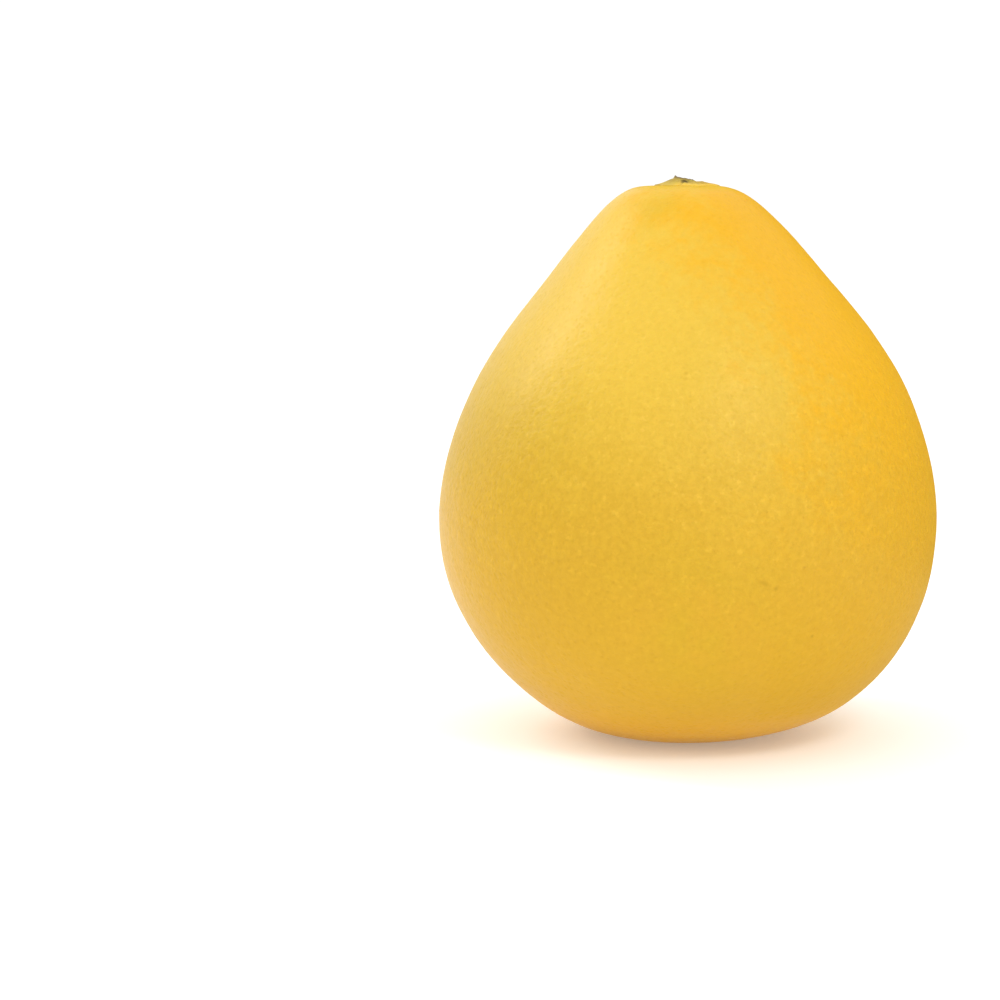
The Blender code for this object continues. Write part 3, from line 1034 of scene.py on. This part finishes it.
def make_stub():
    """The stub as a mesh, with what its finish needs kept on its points."""
    mesh = turned_mesh("stub", stub_profile(), STUB_STEPS)
    across, along, level = read_points(mesh).T
    heading = np.arctan2(along, across)
    share = np.hypot(across, along)
    flare = np.clip(1 - level, 0.0, 1.0) ** STUB_FLARE
    radius = share * (STUB_TOP_RADIUS + (STUB_FOOT_RADIUS - STUB_TOP_RADIUS) * flare)
    radius = radius * (1 + waves(heading, FLUTES))
    high_side = stub_high.z - stub_low.z - LIP_HEIGHT * 0.75
    slant = (high_side - STUB_LOW_SIDE) / (2 * STUB_TOP_RADIUS)
    cut = (high_side + STUB_LOW_SIDE) / 2 - slant * share * STUB_TOP_RADIUS * np.cos(heading)
    on_face = ease(level, 0.90, 1.0)
    wavy = waves(heading, RIM_WAVES) * ease(level, 0.5, 1.0) * share
    relief, cracks = cut_face_relief(share, heading)
    height = stub_low.z - STUB_SINK + level * (cut + STUB_SINK) + wavy + on_face * relief
    across = radius * np.cos(heading) + stub_middle.x
    along = radius * np.sin(heading) + stub_middle.y
    write_points(mesh, across, along, height)
    keep_values(mesh, share=share, level=level, crack=cracks * on_face)
    return mesh


stub_material = bpy.data.materials.new("stalk wood")
stub_mesh = make_stub()
stub_mesh.materials.append(stub_material)
finish_piece("stalk_stub", stub_mesh, "stem_stub")

# %% [markdown]
# ## Calyx and stub finishes
# A calyx that has begun to dry is yellow-green, and straw-coloured along its ribs. In front, where it hung in
# the sun, its lobes take the colour of the ripe rind towards their edge, so it hardly shows against the
# crown. On the left and at the back it stays olive, with dry brown tips. The collar and the ring round the
# stalk are brown, and a nearly black patch is painted into the hollow at the stalk's foot: a painted shade
# where the gap between stalk and lobe lies in shadow. Fibres run outwards from the stalk. To get them
# without a seam, the noise reads the direction from the middle and hardly the distance, which draws each
# speck out into a line.

# %% Fibres that run out from the stalk
CALYX_GREEN = (0.68, 0.500, 0.040, 1.0)
CALYX_STRAW = (0.63, 0.410, 0.050, 1.0)
CALYX_SUNNY = (0.69, 0.400, 0.030, 1.0)
CALYX_RIPE = (0.775, 0.490, 0.048, 1.0)
CALYX_OLIVE = (0.36, 0.300, 0.075, 1.0)
CALYX_BROWN = (0.17, 0.105, 0.045, 1.0)


def outward_fibres(nodes, at, fineness, along):
    """Noise drawn out into lines away from the stalk."""
    from_middle = at.vector("SUBTRACT", tuple(stub_middle)).vector("MULTIPLY", (1.0, 1.0, 0.0))
    facing = from_middle.vector("NORMALIZE").vector("SCALE", scale=fineness)
    stretched = at.vector("SCALE", scale=along)
    return noise(nodes, facing.vector("ADD", stretched), 1.0, 3.0, 0.6)


# %% Painted shade in the hollow at the stalk's foot
HOLLOW_SHADE_BROWN = (0.055, 0.032, 0.006, 1.0)
HOLLOW_SHADE_OUT = COLLAR_RADIUS + 0.0004
HOLLOW_SHADE_PLACE = (
    stub_middle.x + HOLLOW_SHADE_OUT * math.cos(HOLLOW_HEADING),
    stub_middle.y + HOLLOW_SHADE_OUT * math.sin(HOLLOW_HEADING),
    stub_low.z,
)
HOLLOW_SHADE_SHAPE = (0.8, 1.0, 1.5)  # wider than it is high
HOLLOW_SHADE_RADIUS = 0.00125
HOLLOW_SHADE_FADE = 0.0006
HOLLOW_SHADE_RAGGED = 0.0024
HOLLOW_SHADE_STRENGTH = 0.88


def add_hollow_shade(nodes, at, colour):
    """Darken a colour in a low ragged patch round the hollow: a painted shade in the gap at the stalk's foot.
    """
    flattened = at.vector("SUBTRACT", HOLLOW_SHADE_PLACE).vector("MULTIPLY", HOLLOW_SHADE_SHAPE)
    uneven = (noise(nodes, at, 900.0, 4.0, 0.6) - 0.5) * HOLLOW_SHADE_RAGGED
    away = flattened.vector("LENGTH", None, "Value") + uneven
    hollow_shade = nodes.smooth_step(away, HOLLOW_SHADE_RADIUS + HOLLOW_SHADE_FADE, HOLLOW_SHADE_RADIUS - HOLLOW_SHADE_FADE)
    return mix_colours(nodes, hollow_shade * HOLLOW_SHADE_STRENGTH, colour, HOLLOW_SHADE_BROWN)


# %% Living colours of the calyx
CALYX_FIBRES = (9.0, 260.0)  # how fine round the stalk, and along each fibre
CALYX_PATCHES_PER_METRE = 420.0
STRAW_FIBRES = (0.38, 0.66)
STRAW_RIBS = 0.55
OLIVE_FIBRES = (0.56, 0.74)
OLIVE_STRENGTH = 0.45
SUNNY_ACROSS = (0.0005, 0.0070)
SUNNY_STRENGTH = 0.75
SHADED_ACROSS = (-0.0025, -0.0065)
BEHIND_ALONG = (-0.0020, 0.0065)
RIPE_SHARE = (0.62, 0.98)
RIPE_STRENGTH = 0.80
DULL_PATCHES = (0.52, 0.92)
DULL_STRENGTH = 0.85


def living_colour(nodes, share, fibres, patches, across, behind):
    """Yellow-green with straw ribs, sunny at the right, ripe in front and olive on the left and behind."""
    straw = nodes.smooth_step(fibres, *STRAW_FIBRES)
    colour = mix_colours(nodes, straw, CALYX_GREEN, CALYX_STRAW)
    colour = mix_colours(nodes, kept_value(nodes, "rib") * STRAW_RIBS, colour, CALYX_STRAW)
    sunny = nodes.smooth_step(across, *SUNNY_ACROSS)
    colour = mix_colours(nodes, sunny * SUNNY_STRENGTH, colour, CALYX_SUNNY)
    olive = nodes.smooth_step(fibres, *OLIVE_FIBRES)
    colour = mix_colours(nodes, olive * OLIVE_STRENGTH, colour, CALYX_OLIVE)
    ripe = nodes.smooth_step(share, *RIPE_SHARE) * (1 - behind)
    colour = mix_colours(nodes, ripe * RIPE_STRENGTH, colour, CALYX_RIPE)
    dull = nodes.smooth_step(patches + behind * 0.30, *DULL_PATCHES) * behind
    shaded = nodes.smooth_step(across, *SHADED_ACROSS) * (patches * 0.5 + 0.30)
    return mix_colours(nodes, dull.maths("MAXIMUM", shaded) * DULL_STRENGTH, colour, CALYX_OLIVE)


# %% Dry parts of the calyx, and its material
DRY_TIP_SHARE = (0.955, 1.10)
DRY_TIP_STRENGTH = 0.62
DRY_LIFT = (0.85, 1.60)
DRY_LIFT_STRENGTH = 0.45
DRY_FOOT_SHARE = (0.98, 0.45)
DRY_FOOT_STRENGTH = 0.42
SEAM_DARKENING = 0.20
STALK_END_SHINE = 0.22
STALK_END_BUMP = (0.00012, 0.6)  # distance and strength

nodes, shader, at = new_material(calyx_material)
share = kept_value(nodes, "share")
lift = kept_value(nodes, "lift")
fibres = outward_fibres(nodes, at, *CALYX_FIBRES)
patches = noise(nodes, at, CALYX_PATCHES_PER_METRE, 3.0)
shift = patches - 0.5
across, along, _ = nodes.xyz(at)
behind = nodes.smooth_step(along, *BEHIND_ALONG)
colour = living_colour(nodes, share, fibres, patches, across, behind)
dry_tip = nodes.smooth_step(share + shift * 0.30 + behind * 0.16, *DRY_TIP_SHARE)
dry_tip = dry_tip * DRY_TIP_STRENGTH * behind
dry_collar = nodes.smooth_step(lift + shift * 0.6, *DRY_LIFT) * DRY_LIFT_STRENGTH
dry_foot = nodes.smooth_step(share + shift * 0.3, *DRY_FOOT_SHARE) * DRY_FOOT_STRENGTH
dry = dry_tip.maths("MAXIMUM", dry_collar.maths("MAXIMUM", dry_foot))
colour = mix_colours(nodes, dry, colour, CALYX_BROWN)
# darker in the seams between lobes
colour = mix_colours(nodes, kept_value(nodes, "seam") * SEAM_DARKENING, colour, CALYX_BROWN)
# painted shade in the hollow at the stalk's foot, over the calyx's colour
nodes.join(add_hollow_shade(nodes, at, colour), shader.inputs["Base Color"])
nodes.join(dry_tip * 0.20 + (fibres - 0.5) * 0.2 + 0.62, shader.inputs["Roughness"])
nodes.join(bump(nodes, fibres + patches * 0.4, *STALK_END_BUMP), shader.inputs["Normal"])
set_plain(shader, Specular_IOR_Level=STALK_END_SHINE)
print("nodes in the calyx's finish:", len(calyx_material.node_tree.nodes))

# %% [markdown]
# The stub's bark is olive-brown with darker streaks down it. Its cut face has gone grey-brown in the air, and
# its drying cracks are painted dark: a painted shade in them. The mesh keeps how far from the middle a point
# is and how far up, so the rings follow the real cut.

# %% Stub material
BARK_OLIVE = (0.53, 0.400, 0.060, 1.0)
BARK_BROWN = (0.18, 0.125, 0.052, 1.0)
WOOD_PALE = (0.36, 0.265, 0.150, 1.0)
WOOD_BROWN = (0.21, 0.140, 0.072, 1.0)
PITH_BROWN = (0.060, 0.038, 0.018, 1.0)
BARK_STREAKS = (7.0, 150.0)
GRAIN_PER_METRE = 2600.0
DARK_BARK = (0.55, 0.95)
BARK_RING_SHARE = (0.80, 0.92)
PITH_SHARE = (0.30, 0.14)
CRACK_SHADE_STRENGTH = 0.75
CUT_LEVEL = (0.95, 0.985)
WOOD_ROUGHNESS = 0.78

nodes, shader, at = new_material(stub_material)
share = kept_value(nodes, "share")
level = kept_value(nodes, "level")
streaks = outward_fibres(nodes, at, *BARK_STREAKS)
grain = noise(nodes, at, GRAIN_PER_METRE, 3.0)
dark = nodes.smooth_step(streaks * 0.35 + level * 0.70, *DARK_BARK)
bark = mix_colours(nodes, dark, BARK_OLIVE, BARK_BROWN)
ring_wave = ((share * GROWTH_RINGS).maths("SINE") * 0.5 + 0.5) * 0.5 + (grain - 0.5) * 0.8
wood = mix_colours(nodes, ring_wave, WOOD_PALE, WOOD_BROWN)
wood = mix_colours(nodes, nodes.smooth_step(share, *BARK_RING_SHARE), wood, BARK_BROWN)
wood = mix_colours(nodes, nodes.smooth_step(share, *PITH_SHARE), wood, PITH_BROWN)
# painted shade in the drying cracks of the cut face
wood = mix_colours(nodes, kept_value(nodes, "crack") * CRACK_SHADE_STRENGTH, wood, PITH_BROWN)
colour = mix_colours(nodes, nodes.smooth_step(level, *CUT_LEVEL), bark, wood)
# painted shade in the hollow at the stalk's foot, over the stub's colour
nodes.join(add_hollow_shade(nodes, at, colour), shader.inputs["Base Color"])
nodes.join((grain - 0.5) * 0.2 + WOOD_ROUGHNESS, shader.inputs["Roughness"])
nodes.join(bump(nodes, streaks + grain * 0.5, *STALK_END_BUMP), shader.inputs["Normal"])
set_plain(shader, Specular_IOR_Level=STALK_END_SHINE)
print("nodes in the stub's finish:", len(stub_material.node_tree.nodes))

# %% [markdown]
# ## Floor and light
# The picture is bright and almost without shade. A white sky lights everything evenly. A pale floor gives
# most of it back from below and glows faintly itself, as a light table does, so the underside stays light.
# Two soft lamps then model the form: a long one on the left, a little behind, draws the sheen down the left
# shoulder, and a broad one in front, high on the right, lays a wide soft sheen across the middle. They are
# narrow and strong, so they show in the rind's faint shine over the even white of the sky. Sky and floor
# both come out white, so no horizon shows.

# %% Floor
FLOOR_RADIUS = 4.5
FLOOR_WHITE = (0.90, 0.90, 0.90, 1.0)
FLOOR_GLOW = 0.20
FLOOR_ROUGHNESS = 0.95
FLOOR_SHINE = 0.1

floor_mesh = bpy.data.meshes.new("floor")
bm = bmesh.new()
bmesh.ops.create_circle(bm, cap_ends=True, segments=128, radius=FLOOR_RADIUS)
bm.to_mesh(floor_mesh)
bm.free()
floor = bpy.data.objects.new("floor", floor_mesh)
bpy.context.scene.collection.objects.link(floor)
floor_material = bpy.data.materials.new("pale floor")
shader = new_material(floor_material)[1]
set_plain(shader, Base_Color=FLOOR_WHITE, Roughness=FLOOR_ROUGHNESS, Specular_IOR_Level=FLOOR_SHINE)
set_plain(shader, Emission_Color=(1.0, 1.0, 1.0, 1.0), Emission_Strength=FLOOR_GLOW)
floor_mesh.materials.append(floor_material)
floor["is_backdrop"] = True
print("floor, m across:", FLOOR_RADIUS * 2)

# %% [markdown]
# A white sky is mirrored in every edge of the fruit and would wash the colour out there. Photographers stand
# golden cards where an edge is to stay warm. Here one lies on the floor at the right, and one rises round
# the fruit from straight behind it to the right. Only reflections see them: they hide nothing and take no
# light away.

# %% Golden cards
CARD_STEPS = 24
CARDS = (
    # name, glow, first and last heading in degrees (90 is straight behind, 0 to the right),
    # then (distance, height) pairs
    ("wall_card", (0.60, 0.39, 0.05, 1.0), 96, -5, ((0.25, 0.001), (1.00, 0.05), (1.08, 0.35), (1.08, 0.80))),
    ("floor_card", (0.92, 0.70, 0.34, 1.0), 84, -60, ((0.045, 0.001), (0.25, 0.001))),
)


def curved_card(name, first, last, profile):
    """A sheet that follows a profile of (distance, height) pairs round the fruit from heading to heading."""
    points = []
    for heading in np.linspace(math.radians(first), math.radians(last), CARD_STEPS):
        points += [(away * math.cos(heading), away * math.sin(heading), height) for away, height in profile]
    width = len(profile)
    starts = [row * width + column for row in range(CARD_STEPS - 1) for column in range(width - 1)]
    faces = [(start, start + 1, start + width + 1, start + width) for start in starts]
    mesh = bpy.data.meshes.new(name)
    mesh.from_pydata(points, [], faces)
    return bpy.data.objects.new(name, mesh)


for name, glow, first, last, profile in CARDS:
    card = curved_card(name, first, last, profile)
    bpy.context.scene.collection.objects.link(card)
    card_material = bpy.data.materials.new(name)
    shader = new_material(card_material)[1]
    set_plain(shader, Base_Color=(0.0, 0.0, 0.0, 1.0), Specular_IOR_Level=0.0)
    set_plain(shader, Emission_Color=glow, Emission_Strength=1.0)
    card.data.materials.append(card_material)
    card.visible_camera = False
    card.visible_diffuse = False
    card.visible_shadow = False
    card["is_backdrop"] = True
    print(name, "has", len(card.data.polygons), "faces")

# %% Lamps and sky
SKY_STRENGTH = 1.05
LAMPS = (
    # name, direction from the fruit, the way it is long, distance, width, length, power in watts
    ("shoulder", (-0.72, 0.24, 0.65), (-0.38, 0.20, -0.49), 1.3, 0.16, 0.80, 4.9),
    ("front", (0.395, -0.615, 0.679), (0.60, 0.50, -0.40), 1.6, 0.35, 0.55, 5.0),
)

for name, direction, long_way, distance, width, length, power in LAMPS:
    lamp_data = bpy.data.lights.new(name, "AREA")
    lamp_data.shape = "RECTANGLE"
    lamp_data.size = width
    lamp_data.size_y = length
    lamp_data.energy = power
    lamp = bpy.data.objects.new(name, lamp_data)
    bpy.context.scene.collection.objects.link(lamp)
    away = Vector(direction).normalized()
    across = Vector(long_way).cross(away).normalized()
    turned = Matrix((across, away.cross(across), away)).transposed()
    lamp.location = FRUIT_MIDDLE + away * distance
    lamp.rotation_mode = "QUATERNION"
    lamp.rotation_quaternion = turned.to_quaternion()
    print(name, "lamp, mm:", in_mm(lamp.location, 0))

sky = bpy.data.worlds.new("sky")
sky.use_nodes = True
background = sky.node_tree.nodes["Background"]
background.inputs["Color"].default_value = (1.0, 1.0, 1.0, 1.0)
background.inputs["Strength"].default_value = SKY_STRENGTH
bpy.context.scene.world = sky
bpy.context.scene.view_settings.view_transform = "Standard"

# %% [markdown]
# ## Sizes
# Dressing must not change the fruit's size. The box of the solids was kept at the start, and the box of the
# dressed fruit is written beside it, so the two can be compared.

# %% Sizes
visual_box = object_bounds()
print("box of the solids, mm:", in_mm(solid_box[1] - solid_box[0]))
print("box of the dressed fruit, mm:", in_mm(visual_box[1] - visual_box[0]))
